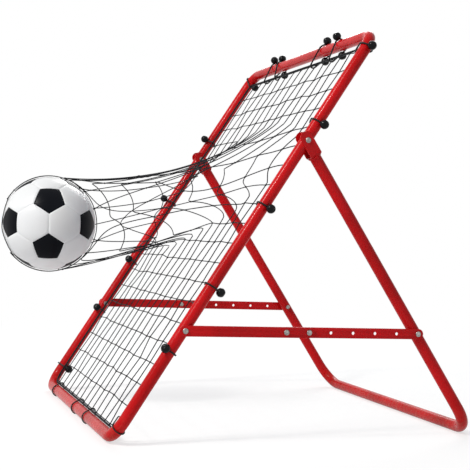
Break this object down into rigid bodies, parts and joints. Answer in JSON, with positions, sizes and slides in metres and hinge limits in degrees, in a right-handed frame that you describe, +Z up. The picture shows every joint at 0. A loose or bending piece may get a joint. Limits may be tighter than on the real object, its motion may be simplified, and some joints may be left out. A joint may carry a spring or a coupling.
{
  "type": "soccer rebounder",
  "caption": "Leaning tubular steel frame with a tied net, a folding rear leg on bolted side struts, and a ball drawn out in the net.",
  "frame": {"origin": "on the floor, under the middle of the front foot tube, at the flat of the middle elastic ring", "axes": "+Z up, +Y from the front foot back to the rear foot, +X across the frame towards the side nearer the camera"},
  "size_m": [0.8535, 0.9779, 0.8902],
  "materials": {
    "red_paint": "glossy red powder coat",
    "zinc": "zinc plated",
    "black_cord": "twisted black polyethylene cord",
    "black_plastic": "elastic loop with a glossy moulded knob",
    "elastic": "black elastic cord",
    "white_skin": "semi-gloss synthetic leather",
    "black_skin": "semi-gloss synthetic leather",
    "bladder_rubber": "matt butyl",
    "valve_rubber": "matt butyl"
  },
  "bodies": {
    "frame": {"lower_frame_tube": "red_paint", "upper_frame_tube": "red_paint", "near_hinge_bolt": "zinc", "near_hinge_nut": "zinc", "far_hinge_bolt": "zinc", "far_hinge_nut": "zinc", "near_front_strut_bolt": "zinc", "near_front_strut_nut": "zinc", "far_front_strut_bolt": "zinc", "far_front_strut_nut": "zinc", "near_strut_spacer": "zinc", "far_strut_spacer": "zinc", "net": "black_cord", "net_edge_rope": "black_cord", "near_tie_1": "black_plastic", "near_tie_2": "black_plastic", "near_tie_3": "black_plastic", "near_tie_4": "black_plastic", "near_tie_5": "black_plastic", "far_tie_1": "black_plastic", "far_tie_2": "black_plastic", "far_tie_3": "black_plastic", "far_tie_4": "black_plastic", "far_tie_5": "black_plastic", "far_tie_6": "black_plastic", "top_tie_1": "black_plastic", "top_tie_2": "black_plastic", "top_tie_3": "black_plastic", "top_tie_4": "black_plastic", "bottom_ring_1": "elastic", "bottom_ring_2": "elastic", "bottom_ring_3": "elastic", "bottom_ring_4": "elastic"},
    "rear_leg": {"rear_leg_tube": "red_paint", "near_hinge_fork": "red_paint", "far_hinge_fork": "red_paint", "near_rear_strut_bolt": "zinc", "near_rear_strut_nut": "zinc", "far_rear_strut_bolt": "zinc", "far_rear_strut_nut": "zinc"},
    "near_front_strut": {"near_front_bar": "red_paint", "near_clamp_bolt_1": "zinc", "near_clamp_bolt_2": "zinc", "near_clamp_nut_1": "zinc", "near_clamp_nut_2": "zinc"},
    "far_front_strut": {"far_front_bar": "red_paint", "far_clamp_bolt_1": "zinc", "far_clamp_bolt_2": "zinc", "far_clamp_nut_1": "zinc", "far_clamp_nut_2": "zinc"},
    "near_rear_strut": {"near_rear_bar": "red_paint"},
    "far_rear_strut": {"far_rear_bar": "red_paint"},
    "ball": {"ball_white_panels": "white_skin", "ball_black_panels": "black_skin", "ball_bladder": "bladder_rubber", "ball_valve": "valve_rubber"}
  },
  "joints": [
    {"name": "leg_fold", "type": "hinge", "parent": "frame", "child": "rear_leg", "pos_m": [0, 0.38793, 0.62333], "axis": [-1, 0, 0], "range_deg": [0, 20.5]},
    {"name": "near_front_strut_turn", "type": "hinge", "parent": "frame", "child": "near_front_strut", "pos_m": [0.4169, 0.13701, 0.22946], "axis": [-1, 0, 0], "range_deg": [0, 11]},
    {"name": "near_rear_strut_turn", "type": "hinge", "parent": "rear_leg", "child": "near_rear_strut", "pos_m": [0.4139, 0.65162, 0.22344], "axis": [-1, 0, 0], "range_deg": [-9.8, 0]},
    {"name": "far_front_strut_turn", "type": "hinge", "parent": "frame", "child": "far_front_strut", "pos_m": [-0.4169, 0.13701, 0.22946], "axis": [-1, 0, 0], "range_deg": [0, 11]},
    {"name": "far_rear_strut_turn", "type": "hinge", "parent": "rear_leg", "child": "far_rear_strut", "pos_m": [-0.4139, 0.65162, 0.22344], "axis": [-1, 0, 0], "range_deg": [-9.8, 0]},
    {"name": "ball_travel", "type": "slide", "parent": "frame", "child": "ball", "axis": [0, 0.9914, 0.1305], "range_m": [0, 0.52], "deforming": ["net"]}
  ],
  "couplings": [
    {"joint": "near_front_strut_turn", "follows": "leg_fold", "ratio": 0.53},
    {"joint": "near_rear_strut_turn", "follows": "leg_fold", "ratio": -0.47},
    {"joint": "far_front_strut_turn", "follows": "leg_fold", "ratio": 0.53},
    {"joint": "far_rear_strut_turn", "follows": "leg_fold", "ratio": -0.47}
  ]
}
